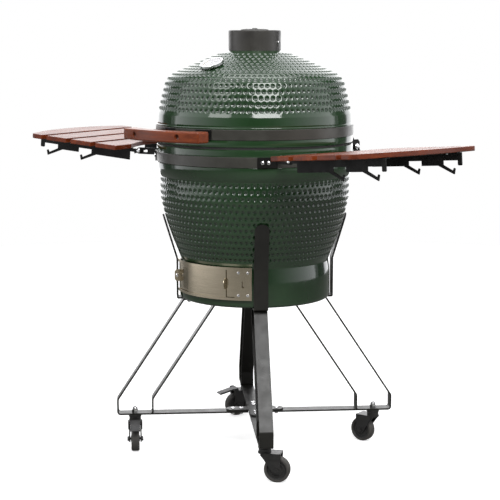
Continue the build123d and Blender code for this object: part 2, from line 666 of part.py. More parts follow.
brake_pivot = (43.0, 92.0)
for name, ang in leg_angles.items():
    head = headings[name]
    cx, cy = stem_r * cos(radians(ang)), stem_r * sin(radians(ang))
    hc, hs = cos(radians(head)), sin(radians(head))
    side = Plane(origin=(cx, cy, 0), x_dir=(hc, hs, 0), z_dir=(hs, -hc, 0))
    flat = Plane(origin=(cx, cy, 0), x_dir=(hc, hs, 0), z_dir=(0, 0, 1))
    braked = name in ("rl", "fl")

    with BuildPart() as fork:
        with BuildSketch(flat.offset(84)):
            Circle(20)
            with Locations((24.5, 0)):
                Rectangle(49, 44)
        extrude(amount=4)
        for off in (18, -22):
            with BuildSketch(side.offset(off)):
                Polygon((-6, 86), (-6, 80), (2, 70), (49, 70), (49, 86), align=None)
            extrude(amount=4)
        for off in (15.5, -19.5):
            with BuildSketch(side.offset(off)):
                Polygon((-10, 86), (-10, 80), (-3, 72), (25, 33), (31, 28), (41, 28), (46, 33), (49, 68), (49, 86),
                        align=None)
            extrude(amount=4)
        with BuildSketch(flat.offset(88)):
            Circle(18)
        extrude(amount=10)
        if braked:
            for off in (18, -22):
                with BuildSketch(side.offset(off)):
                    Polygon((34, 86), (52, 86), (50, 96), (38, 97), align=None)
                extrude(amount=4)
            with BuildSketch(side.offset(-30)):
                with Locations(brake_pivot):
                    Circle(2.55)
            extrude(amount=60, mode=Mode.SUBTRACT)
        with BuildSketch(flat.offset(80)):
            Circle(5.05)
        extrude(amount=20, mode=Mode.SUBTRACT)
        with BuildSketch(side.offset(-30)):
            with Locations((trail, wheel_r)):
                Circle(4)
        extrude(amount=60, mode=Mode.SUBTRACT)
    fork.part.label = "fork_" + name
    export_step(fork.part, "parts/fork_" + name + ".step")

    with BuildPart() as axle:
        with BuildSketch(side.offset(-19.5)):
            with Locations((trail, wheel_r)):
                Circle(4)
        extrude(amount=39)
        with BuildSketch(side.offset(19.5)):
            with Locations((trail, wheel_r)):
                RegularPolygon(6.5, 6, major_radius=False)
        extrude(amount=5)
        with BuildSketch(side.offset(-24.5)):
            with Locations((trail, wheel_r)):
                RegularPolygon(6.5, 6, major_radius=False)
        extrude(amount=5)
    axle.part.label = "axle_" + name
    export_step(axle.part, "parts/axle_" + name + ".step")

    w2 = wheel_w / 2
    hub_plane = Plane(origin=side.from_local_coords((trail, wheel_r, 0)), x_dir=(0, 0, 1), z_dir=side.z_dir)
    roller = lathe([(4.05, -w2 - 1.5), (9, -w2 - 1.5), (10, -w2 + 2), (18, -w2 + 3.5), (26, -w2 + 3), (28, -w2),
                    (wheel_r - 4, -w2), (wheel_r - 1.2, -w2 + 1.4), (wheel_r, -w2 + 5), (wheel_r, w2 - 5),
                    (wheel_r - 1.2, w2 - 1.4), (wheel_r - 4, w2), (28, w2), (26, w2 - 3), (18, w2 - 3.5), (10, w2 - 2),
                    (9, w2 + 1.5), (4.05, w2 + 1.5)])
    with BuildPart() as wheel:
        with Locations(hub_plane):
            add(roller)
    wheel.part.label = "wheel_" + name
    export_step(wheel.part, "parts/wheel_" + name + ".step")

    if braked:
        with BuildPart() as brake:
            with BuildSketch(side):
                Polygon((36, 92.2), (43, 89.4), (50, 89.2), (52, 87.6), (98, 77.0), (101, 79.4), (98, 82.2), (52, 93.4),
                        (37, 97.0), align=None)
            extrude(amount=15, both=True)
            with BuildSketch(side.offset(-21.5)):
                with Locations(brake_pivot):
                    Circle(2.5)
            extrude(amount=43)
        brake.part.label = "brake_" + name
        export_step(brake.part, "parts/brake_" + name + ".step")

# ------------------------------------------------------------------ side table brackets on the lower band
with BuildPart() as table_brackets:
    for hand in (1, -1):
        o = (hand * cos(radians(yaw)), -sin(radians(yaw)), 0)
        b = (hand * sin(radians(yaw)), cos(radians(yaw)), 0)
        for end in (1, -1):
            # flange on the band, on the side away from the middle of the table
            if hand == 1:
                start = -yaw + (27.3 if end == 1 else -38.3)
            else:
                start = 180 + yaw + (27.3 if end == -1 else -38.3)
            add(band_piece(band_r, band_r + 3, base_band_z[0], base_band_z[1], start, 11.0))
            y0 = end * (rail_l - rail_t / 2 - 0.5 - 2)
            arm = Plane(origin=(b[0] * y0, b[1] * y0, 0), x_dir=o, z_dir=(o[1], -o[0], 0))
            with BuildSketch(arm):
                with BuildLine():
                    Polyline((pivot_s, pivot_z - 10), (265.2, pivot_z - 10), (265.2, pivot_z + 10), (pivot_s, pivot_z + 10))
                    ThreePointArc((pivot_s, pivot_z + 10), (pivot_s + 10, pivot_z), (pivot_s, pivot_z - 10))
                make_face()
            extrude(amount=2, both=True)
            with BuildSketch(arm):
                with Locations((305, pivot_z)):
                    SlotOverall(18, 8)
                with Locations((pivot_s, pivot_z)):
                    Circle(3)
            extrude(amount=4, both=True, mode=Mode.SUBTRACT)
    for a in table_bolt_a:
        with BuildSketch(facing(a, 290, base_bolt_z)):
            Circle(3)
        extrude(amount=20, mode=Mode.SUBTRACT)
table_brackets.part.label = "table_brackets"
export_step(table_brackets.part, "parts/table_brackets.step")

# ------------------------------------------------------------------ side tables
ct, st = cos(radians(tilt)), sin(radians(tilt))
cw, sw = cos(radians(yaw)), sin(radians(yaw))
for hand_name, hand in (("right", 1), ("left", -1)):
    top = Plane(origin=(hand * pivot_s * cw, -pivot_s * sw, pivot_z), x_dir=(hand * cw * ct, -sw * ct, st),
                z_dir=(-hand * cw * st, sw * st, ct))

    with BuildPart() as slats:
        for s0, s1 in slat_s:
            with BuildSketch(top.offset(slat_top - slat_t)):
                with Locations(((s0 + s1) / 2 - pivot_s, hand * slat_back)):
                    Rectangle(s1 - s0, 2 * slat_half)
                if s0 < 400:
                    with Locations((-pivot_s, 0)):
                        Circle(inner_arc, mode=Mode.SUBTRACT)
                if s1 > 700:
                    with Locations((-pivot_s, 0)):
                        Circle(outer_arc, mode=Mode.INTERSECT)
            extrude(amount=slat_t)
        fillet(slats.edges().filter_by(lambda e: abs(e.length - slat_t) < 0.05
                                       and abs(top.to_local_coords(e.center()).Y) > 200
                                       and top.to_local_coords(e.center()).X > 330), radius=22)
        fillet(slats.edges(), radius=2.2)
    slats.part.label = "table_slats_" + hand_name
    export_step(slats.part, "parts/table_slats_" + hand_name + ".step")

    screw_at = [(x, end) for x in (78.0, 158.0, 252.0, 338.0) for end in (1, -1)]
    with BuildPart() as rails:
        for end in (1, -1):
            plate = Plane(origin=top.from_local_coords((0, end * rail_l, 0)), x_dir=top.x_dir, z_dir=-top.y_dir)
            with BuildSketch(plate):
                Circle(9)
                # thin neck, first block, bridge, second block, bridge, end pin
                Polygon((0, -6), (34, -6), (34, -32), (180, -32), (180, -18), (232, -18), (232, -32), (313, -32),
                        (313, -18), (368, -18), (368, -30), (371, -32), (379, -32), (382, -30), (382, 4), (0, 4),
                        align=None)
                # the two hooks
                for hx in (180, 313):
                    Polygon((hx, -24), (hx, -30), (hx + 35.5, -46.5), (hx + 39.5, -38.5), (hx + 44, -40.5),
                            (hx + 40, -56), (hx - 18, -32), (hx - 18, -24), align=None)
                Circle(3.05, mode=Mode.SUBTRACT)
            extrude(amount=rail_t / 2, both=True)
            with BuildSketch(top.offset(2)):
                with Locations(((34 + 380) / 2, end * (rail_l - 9))):
                    Rectangle(346, 16)
            extrude(amount=2)
        for x, end in screw_at:
            with BuildSketch(top.offset(-1)):
                with Locations((x, end * (rail_l - 10))):
                    Circle(2)
            extrude(amount=4.9, mode=Mode.SUBTRACT)
            with BuildSketch(top.offset(3)):
                with Locations((x, end * (rail_l - 10))):
                    Circle(2)
            extrude(amount=1, mode=Mode.SUBTRACT)
    rails.part.label = "table_rails_" + hand_name
    export_step(rails.part, "parts/table_rails_" + hand_name + ".step")

    with BuildPart() as screws:
        wood_screw = lathe([(0, -3), (3.4, -3), (4.6, -1.6), (4.6, -0.0), (2, -0.0), (2, 2), (0, 2)])
        for x, end in screw_at:
            with Locations(Plane(origin=top.from_local_coords((x, end * (rail_l - 10), 2)), x_dir=top.x_dir,
                                 z_dir=top.z_dir)):
                add(wood_screw)
    screws.part.label = "table_screws_" + hand_name
    export_step(screws.part, "parts/table_screws_" + hand_name + ".step")
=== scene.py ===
import math
import random

import bpy
import numpy as np
from mathutils import Matrix, Vector


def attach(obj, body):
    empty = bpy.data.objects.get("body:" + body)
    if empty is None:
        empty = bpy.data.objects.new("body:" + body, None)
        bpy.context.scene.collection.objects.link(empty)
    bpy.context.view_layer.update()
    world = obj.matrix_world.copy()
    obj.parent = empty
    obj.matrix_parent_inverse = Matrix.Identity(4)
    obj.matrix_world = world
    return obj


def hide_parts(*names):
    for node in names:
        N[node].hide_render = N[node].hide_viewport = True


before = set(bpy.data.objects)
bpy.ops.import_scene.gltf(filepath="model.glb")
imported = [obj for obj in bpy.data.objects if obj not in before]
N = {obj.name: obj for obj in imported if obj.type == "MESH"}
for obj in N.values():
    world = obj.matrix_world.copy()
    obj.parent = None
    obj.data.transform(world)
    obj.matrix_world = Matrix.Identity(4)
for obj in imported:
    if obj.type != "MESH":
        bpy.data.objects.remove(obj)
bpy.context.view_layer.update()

scene = bpy.context.scene
MM = 0.001


# ------------------------------------------------------------------ camera
cam_data = bpy.data.cameras.new("camera")
cam = bpy.data.objects.new("camera", cam_data)
scene.collection.objects.link(cam)
cam.location = (2.802, -3.281, 1.2612)
cam.rotation_euler = (math.radians(81.49), 0, math.radians(40.5))
cam_data.lens = 102.36
cam_data.sensor_width = 36.0
cam_data.shift_x = -0.0093
cam_data.clip_end = 200
scene.camera = cam
scene.view_settings.view_transform = "Standard"
scene.view_settings.look = "None"


# ------------------------------------------------------------------ material helpers
class Mat:
    """a small wrapper that keeps node code short"""

    def __init__(self, name):
        self.m = bpy.data.materials.new(name)
        self.m.use_nodes = True
        self.nt = self.m.node_tree
        self.b = self.nt.nodes["Principled BSDF"]

    def set(self, **kw):
        for key, value in kw.items():
            self.b.inputs[key.replace("_", " ")].default_value = value
        return self

    def node(self, kind, **props):
        n = self.nt.nodes.new(kind)
        for key, value in props.items():
            setattr(n, key, value)
        return n

    def link(self, a, b):
        self.nt.links.new(a, b)

    def coords(self, scale=(1, 1, 1), rot=(0, 0, 0)):
        tc = self.node("ShaderNodeTexCoord")
        mp = self.node("ShaderNodeMapping")
        mp.inputs["Scale"].default_value = scale
        mp.inputs["Rotation"].default_value = rot
        self.link(tc.outputs["Object"], mp.inputs["Vector"])
        return mp.outputs["Vector"]

    def noise(self, vec, scale, detail=4.0, rough=0.55, distortion=0.0):
        n = self.node("ShaderNodeTexNoise")
        n.inputs["Scale"].default_value = scale
        n.inputs["Detail"].default_value = detail
        n.inputs["Roughness"].default_value = rough
        n.inputs["Distortion"].default_value = distortion
        self.link(vec, n.inputs["Vector"])
        return n.outputs["Fac"]

    def ramp(self, fac, stops, interpolation="LINEAR"):
        r = self.node("ShaderNodeValToRGB")
        r.color_ramp.interpolation = interpolation
        els = r.color_ramp.elements
        while len(els) < len(stops):
            els.new(0.5)
        for e, (p, c) in zip(els, stops):
            e.position = p
            e.color = (*c, 1) if len(c) == 3 else c
        self.link(fac, r.inputs["Fac"])
        return r.outputs["Color"]

    def math(self, op, a, b=None):
        n = self.node("ShaderNodeMath", operation=op)
        for i, v in enumerate((a, b)):
            if v is None:
                continue
            if isinstance(v, (int, float)):
                n.inputs[i].default_value = v
            else:
                self.link(v, n.inputs[i])
        return n.outputs[0]

    def mix(self, fac, a, b, blend="MIX"):
        n = self.node("ShaderNodeMix", data_type="RGBA", blend_type=blend)
        for sock, v in ((n.inputs[0], fac), (n.inputs[6], a), (n.inputs[7], b)):
            if isinstance(v, (int, float)):
                sock.default_value = v
            elif isinstance(v, tuple):
                sock.default_value = (*v, 1)
            else:
                self.link(v, sock)
        return n.outputs[2]

    def bump(self, height, strength, distance, after=None):
        n = self.node("ShaderNodeBump")
        n.inputs["Strength"].default_value = strength
        n.inputs["Distance"].default_value = distance
        self.link(height, n.inputs["Height"])
        if after is not None:
            self.link(after, n.inputs["Normal"])
        return n.outputs["Normal"]

    def color(self, out):
        self.link(out, self.b.inputs["Base Color"])
        return self

    def rough(self, out):
        self.link(out, self.b.inputs["Roughness"])
        return self

    def normal(self, out):
        self.link(out, self.b.inputs["Normal"])
        return self


def glaze():
    m = Mat("glaze").set(Roughness=0.09, IOR=1.55)
    v = m.coords()
    at = m.node("ShaderNodeAttribute", attribute_name="depth")
    cloud = m.noise(v, 9.0, 3.0)
    spot = m.noise(v, 120.0, 2.0)
    body = m.ramp(cloud, [(0.3, (0.0105, 0.0310, 0.0105)), (0.7, (0.0150, 0.0420, 0.0150))])
    # painted shade: the glaze colour is darkened towards the middle of each dimple, following the depth attribute, to
    # stand in for the darker reflections in the hollows
    dimple_shaded = m.mix(at.outputs["Fac"], body, (0.0045, 0.0155, 0.0055))
    m.color(m.mix(m.math("MULTIPLY", spot, 0.22), dimple_shaded, (0.016, 0.036, 0.018)))
    m.rough(m.ramp(m.noise(v, 30.0, 3.0), [(0.3, (0.07, 0.07, 0.07)), (0.75, (0.13, 0.13, 0.13))]))
    m.normal(m.bump(m.noise(v, 85.0, 2.0), 0.10, 0.0012))
    return m.m


def powder(name, low, high, rough=(0.36, 0.5), metallic=0.0, grain=900.0, bump=0.12, spec=0.5):
    m = Mat(name).set(Metallic=metallic, Specular_IOR_Level=spec)
    v = m.coords()
    m.color(m.ramp(m.noise(v, 14.0, 5.0), [(0.35, low), (0.7, high)]))
    m.rough(m.ramp(m.noise(v, 40.0, 4.0), [(0.3, (rough[0],) * 3), (0.75, (rough[1],) * 3)]))
    m.normal(m.bump(m.noise(v, grain, 2.0), bump, 0.0004))
    return m.m


def brushed(name, low, high, rough, scale, strength=0.08, rot=(0, 0, 0)):
    m = Mat(name).set(Metallic=1.0)
    v = m.coords(scale, rot)
    streak = m.noise(v, 1.0, 6.0, 0.65)
    cloud = m.noise(m.coords(), 16.0, 3.0)
    m.color(m.mix(m.math("MULTIPLY", cloud, 0.35), m.ramp(streak, [(0.25, low), (0.75, high)]), low))
    m.rough(m.ramp(streak, [(0.2, (rough[0],) * 3), (0.8, (rough[1],) * 3)]))
    m.normal(m.bump(streak, strength, 0.0004))
    return m.m


def wood(name, grain_scale, rot=(0, 0, 0), dark=(0.058, 0.0095, 0.0026), mid=(0.135, 0.0235, 0.0050),
         light=(0.225, 0.046, 0.0098), slat_index=False):
    m = Mat(name).set(IOR=1.5, Specular_IOR_Level=0.22)
    v = m.coords(grain_scale, rot)
    fine = m.noise(v, 160.0, 6.0, 0.62, 0.4)
    broad = m.noise(v, 26.0, 4.0, 0.5, 0.8)
    both = m.math("ADD", m.math("MULTIPLY", fine, 0.45), m.math("MULTIPLY", broad, 0.55))
    col = m.ramp(both, [(0.34, dark), (0.5, mid), (0.68, light)])
    if slat_index:
        # each slat is cut from its own board: shift the tone in steps of the slat pitch
        sep = m.node("ShaderNodeSeparateXYZ")
        m.link(m.coords((1, 1, 1), rot), sep.inputs[0])
        step = m.math("FLOOR", m.math("DIVIDE", m.math("SUBTRACT", sep.outputs[0], 0.342), 0.0944))
        wn = m.node("ShaderNodeTexWhiteNoise", noise_dimensions="1D")
        m.link(step, wn.inputs["W"])
        col = m.mix(m.math("MULTIPLY", wn.outputs["Value"], 0.38), col, dark)
    m.color(col)
    m.rough(m.ramp(fine, [(0.3, (0.30, 0.30, 0.30)), (0.7, (0.44, 0.44, 0.44))]))
    m.set(Coat_Weight=0.05, Coat_Roughness=0.16)
    m.normal(m.bump(fine, 0.16, 0.0005))
    return m.m


def plain(name, low, high, rough, noise_scale=60.0, bump=0.1, dist=0.0005, metallic=0.0, **kw):
    m = Mat(name).set(Metallic=metallic, **kw)
    v = m.coords()
    m.color(m.ramp(m.noise(v, noise_scale, 5.0), [(0.3, low), (0.7, high)]))
    m.rough(m.ramp(m.noise(v, noise_scale * 1.7, 3.0), [(0.3, (rough[0],) * 3), (0.7, (rough[1],) * 3)]))
    m.normal(m.bump(m.noise(v, noise_scale * 6, 3.0), bump, dist))
    return m.m


YAW = math.radians(9.8)
M = {
    "glaze": glaze(),
    "band": powder("band_coat", (0.036, 0.0350, 0.0295), (0.054, 0.0525, 0.0450), (0.32, 0.42), 0.3, 700.0, 0.06),
    "black": powder("black_coat", (0.0035, 0.0034, 0.0030), (0.0065, 0.0063, 0.0056), (0.42, 0.55), spec=0.14),
    "leg": powder("leg_coat", (0.0085, 0.0083, 0.0070), (0.0140, 0.0134, 0.0110), (0.34, 0.46), spec=0.34),
    "vent": powder("vent_coat", (0.019, 0.0175, 0.015), (0.031, 0.029, 0.0245), (0.36, 0.48), 0.2, 600.0, 0.15),
    "stainless": brushed("stainless", (0.44, 0.385, 0.285), (0.61, 0.535, 0.410), (0.16, 0.28), (14, 14, 900), 0.05),
    "chrome": brushed("chrome", (0.62, 0.62, 0.62), (0.75, 0.75, 0.75), (0.1, 0.2), (120, 120, 120), 0.03),
    "rod": brushed("grate_rod", (0.5, 0.49, 0.47), (0.66, 0.65, 0.63), (0.25, 0.4), (60, 60, 60), 0.1),
    "slat_r": wood("slat_wood_r", (1, 0.055, 1), (0, 0, YAW), slat_index=True),
    "slat_l": wood("slat_wood_l", (1, 0.055, 1), (0, 0, math.pi - YAW), slat_index=True),
    "handle": wood("handle_wood", (0.06, 1, 1), dark=(0.066, 0.0125, 0.0034), mid=(0.135, 0.0265, 0.0066),
                   light=(0.215, 0.050, 0.0120)),
    "felt": plain("felt", (0.010, 0.010, 0.010), (0.022, 0.021, 0.020), (0.85, 0.98), 300.0, 0.6, 0.001),
    "clay": plain("fire_clay", (0.30, 0.25, 0.19), (0.42, 0.36, 0.28), (0.8, 0.95), 22.0, 0.4, 0.0015),
    "iron": plain("cast_iron", (0.012, 0.012, 0.012), (0.026, 0.025, 0.024), (0.5, 0.7), 60.0, 0.5, 0.0008, 0.3),
    "caster": plain("caster_coat", (0.010, 0.010, 0.010), (0.020, 0.019, 0.018), (0.32, 0.46), 40.0, 0.1, 0.0004),
    "tread": plain("tread_rubber", (0.040, 0.037, 0.034), (0.062, 0.058, 0.053), (0.55, 0.7), 50.0, 0.25, 0.0005),
    "core": plain("wheel_core", (0.014, 0.014, 0.014), (0.024, 0.023, 0.022), (0.36, 0.5), 50.0, 0.1, 0.0004),
    "plastic": plain("pedal_plastic", (0.014, 0.014, 0.014), (0.026, 0.025, 0.024), (0.4, 0.55), 80.0, 0.2, 0.0004),
    "spring": plain("spring_wire", (0.012, 0.012, 0.012), (0.03, 0.03, 0.03), (0.3, 0.42), 90.0, 0.1, 0.0003, 0.6),
    "dial": plain("dial_face", (0.20, 0.182, 0.176), (0.24, 0.218, 0.212), (0.4, 0.5), 80.0, 0.03, 0.0002),
    "mark": plain("dial_print", (0.012, 0.012, 0.012), (0.02, 0.02, 0.02), (0.5, 0.6), 80.0, 0.02, 0.0001),
    "red": plain("dial_red", (0.38, 0.03, 0.02), (0.46, 0.045, 0.03), (0.5, 0.6), 80.0, 0.02, 0.0001),
    "yellow": plain("dial_yellow", (0.55, 0.38, 0.05), (0.64, 0.45, 0.07), (0.5, 0.6), 80.0, 0.02, 0.0001),
}
glass = Mat("dial_glass").set(Roughness=0.02, IOR=1.45, Transmission_Weight=1.0)
glass.color(glass.ramp(glass.noise(glass.coords(), 20.0), [(0.3, (0.95, 0.97, 0.97)), (0.7, (1, 1, 1))]))
M["glass"] = glass.m


def paint(node, mat):
    ob = N[node]
    ob.data.materials.clear()
    ob.data.materials.append(M[mat])


for node, mat in {
    "firebox": "clay", "fire_ring": "clay", "charcoal_grate": "iron", "cooking_grate": "rod", "base_gasket": "felt",
    "lid_gasket": "felt", "base_band": "band", "lid_band": "band", "hinge_base_bracket": "black",
    "hinge_lid_bracket": "black", "hinge_pin": "chrome", "handle_bar": "handle", "handle_brackets": "black",
    "base_bolts": "chrome", "lid_bolts": "chrome", "thermo_case": "chrome", "thermo_dial": "dial",
    "thermo_glass": "glass", "thermo_needle": "mark", "vent_base": "vent", "vent_cap": "vent", "vent_screw": "chrome",
    "door_frame": "stainless", "door_rivets": "chrome", "door_slide": "stainless", "door_screen": "stainless",
    "door_pull_screw": "chrome", "holders": "leg", "cross_plate": "leg", "cart_bolts": "chrome",
    "caster_stems": "caster", "table_brackets": "black", "table_slats_left": "slat_l", "table_slats_right": "slat_r",
    "table_rails_left": "black", "table_rails_right": "black", "table_screws_left": "chrome",
    "table_screws_right": "chrome", "leg_fl": "leg", "leg_fr": "leg", "leg_rl": "leg", "leg_rr": "leg",
    "fork_fl": "caster", "fork_fr": "caster", "fork_rl": "caster", "fork_rr": "caster", "axle_fl": "caster",
    "axle_fr": "caster", "axle_rl": "caster", "axle_rr": "caster", "wheel_fl": "tread", "wheel_fr": "tread",
    "wheel_rl": "tread", "wheel_rr": "tread", "brake_fl": "plastic", "brake_rl": "plastic", "hinge_springs": "spring",
    "base_shell": "glaze", "lid_dome": "glaze",
}.items():
    if node in N:
        paint(node, mat)


# ------------------------------------------------------------------ mesh helpers
def new_object(name, verts, faces, mats, body, smooth_angle=35.0, mat_index=None, attr=None):
    me = bpy.data.meshes.new(name)
    me.from_pydata([tuple(v) for v in verts], [], faces)
    me.validate()
    for m in mats:
        me.materials.append(m)
    if mat_index is not None:
        me.polygons.foreach_set("material_index", mat_index)
    me.polygons.foreach_set("use_smooth", [True] * len(me.polygons))
    me.set_sharp_from_angle(angle=math.radians(smooth_angle))
    if attr is not None:
        a = me.attributes.new("depth", "FLOAT", "POINT")
        a.data.foreach_set("value", np.asarray(attr, np.float32))
    ob = bpy.data.objects.new(name, me)
    scene.collection.objects.link(ob)
    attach(ob, body)
    return ob


def catmull(pts, per):
    """smooth curve through the points, `per` samples for each span"""
    p = [np.array(q, float) for q in pts]
    p = [2 * p[0] - p[1]] + p + [2 * p[-1] - p[-2]]
    out = []
    for i in range(1, len(p) - 2):
        a, b, c, d = p[i - 1], p[i], p[i + 1], p[i + 2]
        for k in range(per):
            t = k / per
            out.append(0.5 * ((2 * b) + (c - a) * t + (2 * a - 5 * b + 4 * c - d) * t * t
                              + (3 * b - a - 3 * c + d) * t ** 3))
    out.append(p[-2])
    return out


def resample(pts, step):
    pts = np.array(pts, float)
    seg = np.hypot(*(pts[1:] - pts[:-1]).T)
    s = np.concatenate([[0], np.cumsum(seg)])
    n = max(2, int(round(s[-1] / step)) + 1)
    t = np.linspace(0, s[-1], n)
    return np.stack([np.interp(t, s, pts[:, 0]), np.interp(t, s, pts[:, 1])], 1)


def dimple_rows(path, spacing, pitch, fixed_above=None):
    """row centres along a (R, z) path: (arc length, radius, count, phase)"""
    seg = np.hypot(*(path[1:] - path[:-1]).T)
    s = np.concatenate([[0], np.cumsum(seg)])
    count = max(1, int(round(s[-1] / spacing)))
    gap = s[-1] / count
    rows = []
    for j in range(count):
        at = (j + 0.5) * gap
        r = np.interp(at, s, path[:, 0])
        n = fixed_above[1] if fixed_above and r > fixed_above[0] else int(round(2 * math.pi * r / pitch))
        rows.append((at, r, n, 0.5 * (j % 2)))
    return s, rows, gap


def dimple_field(s, radius, theta, rows, gap, rd):
    """0 on the net between dimples, 1 in the middle of a dimple"""
    out = np.zeros((len(s), len(theta)))
    for i, (si, ri) in enumerate(zip(s, radius)):
        for at, r, n, ph in rows:
            dy = si - at
            if abs(dy) >= rd:
                continue
            cell = theta * n / (2 * math.pi) + ph
            dx = (cell - np.round(cell)) * 2 * math.pi * ri / n
            d = np.sqrt(dx * dx + dy * dy) / rd
            out[i] = np.maximum(out[i], np.where(d < 1, np.clip((0.5 + 0.5 * np.cos(math.pi * d)) * 1.12, 0, 1), 0))
    return out


COLS = 864


def ceramic(name, segments, body, inside, hole=None, close_axis=False, depth=3.0):
    """closed lathe surface from (R, z) segments; a segment with rows is dimpled inwards, and from the point
    `inside` onwards the wall is bare clay"""
    theta = np.arange(COLS) * 2 * math.pi / COLS
    path, disp = [], []
    for pts, rows, s, gap, rd in segments:
        pts = np.asarray(pts, float)
        if rows is None:
            f = np.zeros((len(pts), COLS))
        else:
            f = dimple_field(s, pts[:, 0], theta, rows, gap, rd)
        path.append(pts)
        disp.append(f)
    path = np.concatenate(path)
    disp = np.concatenate(disp)
    keep = [0] + [i for i in range(1, len(path)) if np.hypot(*(path[i] - path[i - 1])) > 1e-4]
    path, disp = path[keep], disp[keep]
    closed = not close_axis
    nxt = np.roll(path, -1, 0) if closed else np.vstack([path[1:], path[-1:]])
    prv = np.roll(path, 1, 0) if closed else np.vstack([path[:1], path[:-1]])
    tan = nxt - prv
    tan /= np.maximum(np.hypot(tan[:, 0], tan[:, 1]), 1e-9)[:, None]
    nr, nz = tan[:, 1], -tan[:, 0]
    rr = path[:, 0][:, None] - disp * depth * nr[:, None]
    zz = path[:, 1][:, None] - disp * depth * nz[:, None]
    verts = np.stack([rr * np.cos(theta), rr * np.sin(theta), zz * np.ones(COLS)], 2).reshape(-1, 3) * MM
    rows_n = len(path)
    attr = disp.reshape(-1)
    faces = []
    hole_cols = set()
    if hole:
        c0 = int(round((hole["a0"] % 360) / 360 * COLS))
        c1 = int(round((hole["a1"] % 360) / 360 * COLS))
        hole_cols = set(range(c0, c1))

    def in_hole(i, k):
        if not hole or k not in hole_cols:
            return False
        za, zb = path[i][1], path[(i + 1) % rows_n][1]
        lo, hi = min(za, zb), max(za, zb)
        return lo >= hole["z0"] - 0.01 and hi <= hole["z1"] + 0.01 and path[i][0] > 190
    last = rows_n if closed else rows_n - 1
    for i in range(last):
        a, b = i * COLS, ((i + 1) % rows_n) * COLS
        for k in range(COLS):
            if in_hole(i, k):
                continue
            k2 = (k + 1) % COLS
            faces.append((a + k, a + k2, b + k2, b + k))
    verts = list(map(tuple, verts))
    row_in = min(range(rows_n), key=lambda i: np.hypot(path[i][0] - inside[0], path[i][1] - inside[1]))
    idx = [int(f[0] // COLS >= row_in) for f in faces]
    if close_axis:
        v0 = len(verts)
        verts.append((0, 0, path[0][1] * MM))
        verts.append((0, 0, path[-1][1] * MM))
        for k in range(COLS):
            k2 = (k + 1) % COLS
            faces.append((v0, k2, k))
            faces.append((v0 + 1, (rows_n - 1) * COLS + k, (rows_n - 1) * COLS + k2))
            idx += [0, 1]
        attr = np.concatenate([attr, [0, 0]])
    if hole:
        # side, top and bottom walls of the opening: rows at equal heights inside and outside
        outer = [i for i in range(rows_n) if hole["z0"] - 0.01 <= path[i][1] <= hole["z1"] + 0.01 and path[i][0] > 215]
        inner = [i for i in range(rows_n) if hole["z0"] - 0.01 <= path[i][1] <= hole["z1"] + 0.01
                 and 190 < path[i][0] <= 215]
        outer.sort(key=lambda i: path[i][1])
        inner.sort(key=lambda i: path[i][1])
        for a, b, c, d in zip(outer[:-1], outer[1:], inner[:-1], inner[1:]):
            for col, flip in ((c0, False), (c1 % COLS, True)):
                q = (a * COLS + col, b * COLS + col, d * COLS + col, c * COLS + col)
                faces.append(q[::-1] if flip else q)
        for o_row, i_row, flip in ((outer[0], inner[0], True), (outer[-1], inner[-1], False)):
            for k in range(c0, c1):
                q = (o_row * COLS + k, o_row * COLS + k + 1, i_row * COLS + k + 1, i_row * COLS + k)
                faces.append(q[::-1] if flip else q)
    idx += [0] * (len(faces) - len(idx))
    return new_object(name, verts, faces, [M["glaze"], M["clay"]], body, 38.0, idx, attr=attr)


def plain_seg(pts):
    return (pts, None, None, None, None)


# base: outside from the foot to the lip, then down the inside
base_spline = catmull([(225, 594), (239, 631), (253, 667), (270, 718), (283, 770), (286.3, 790), (287.3, 808),
                       (286.8, 831), (287, 850)], 16)
base_spline = np.array(base_spline)
low = base_spline[base_spline[:, 1] < 608]
wall = base_spline[base_spline[:, 1] >= 607.9]
wall = resample(wall, 2.32)
s, rows, gap = dimple_rows(wall, 18.8, 17.8, (0, 102))
foot = [(0.1, 476.0), (120, 476), (219, 476), (223.5, 477.0), (227.3, 479.6), (228.9, 482.6), (229.3, 486)]
z_hole = [515.0, 531.25, 547.5, 563.75, 580.0]
outer_hole = [(229.3, 515.0), (229.3, 531.25), (229.3, 547.5), (228.7, 563.75), (226.5, 580.0)]
inner_hole = [(204.3, 515.0), (204.3, 531.25), (204.3, 547.5), (203.7, 563.75), (201.8, 580.0)]
base_shell = ceramic("base_ceramic", [
    plain_seg(foot + [(229.3, 500)] + outer_hole + [(225.4, 588), (224.9, 592), (225.2, 595.5)]),
    plain_seg([tuple(p) for p in low if p[1] > 597]),
    (wall, rows, s, gap, 8.1),
    plain_seg([(287.3, 851.2), (288.4, 853.2), (290, 855.6), (294, 868), (294.6, 871.2), (295.1, 873.2), (295.6, 875.5),
               (296.9, 890), (296.8, 892.2), (296.2, 893.4), (295.3, 894), (295.3, 909), (295.3, 924), (296.3, 924.1),
               (296.5, 925), (296.5, 942.2), (296.0, 944.0), (294.6, 945), (283, 945), (270.3, 945), (270, 892),
               (267, 873), (262, 850), (261.8, 831), (262.3, 806), (258, 770), (245, 718), (228, 667), (214, 631),
               (200.6, 596)]),
    plain_seg(inner_hole[::-1]),
    plain_seg([(204.3, 503), (202, 501), (120, 501), (0.1, 501)]),
], "body", (270.3, 945), hole={"a0": 243.0, "a1": 277.0, "z0": 515.0, "z1": 580.0}, close_axis=True)
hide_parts("base_shell")

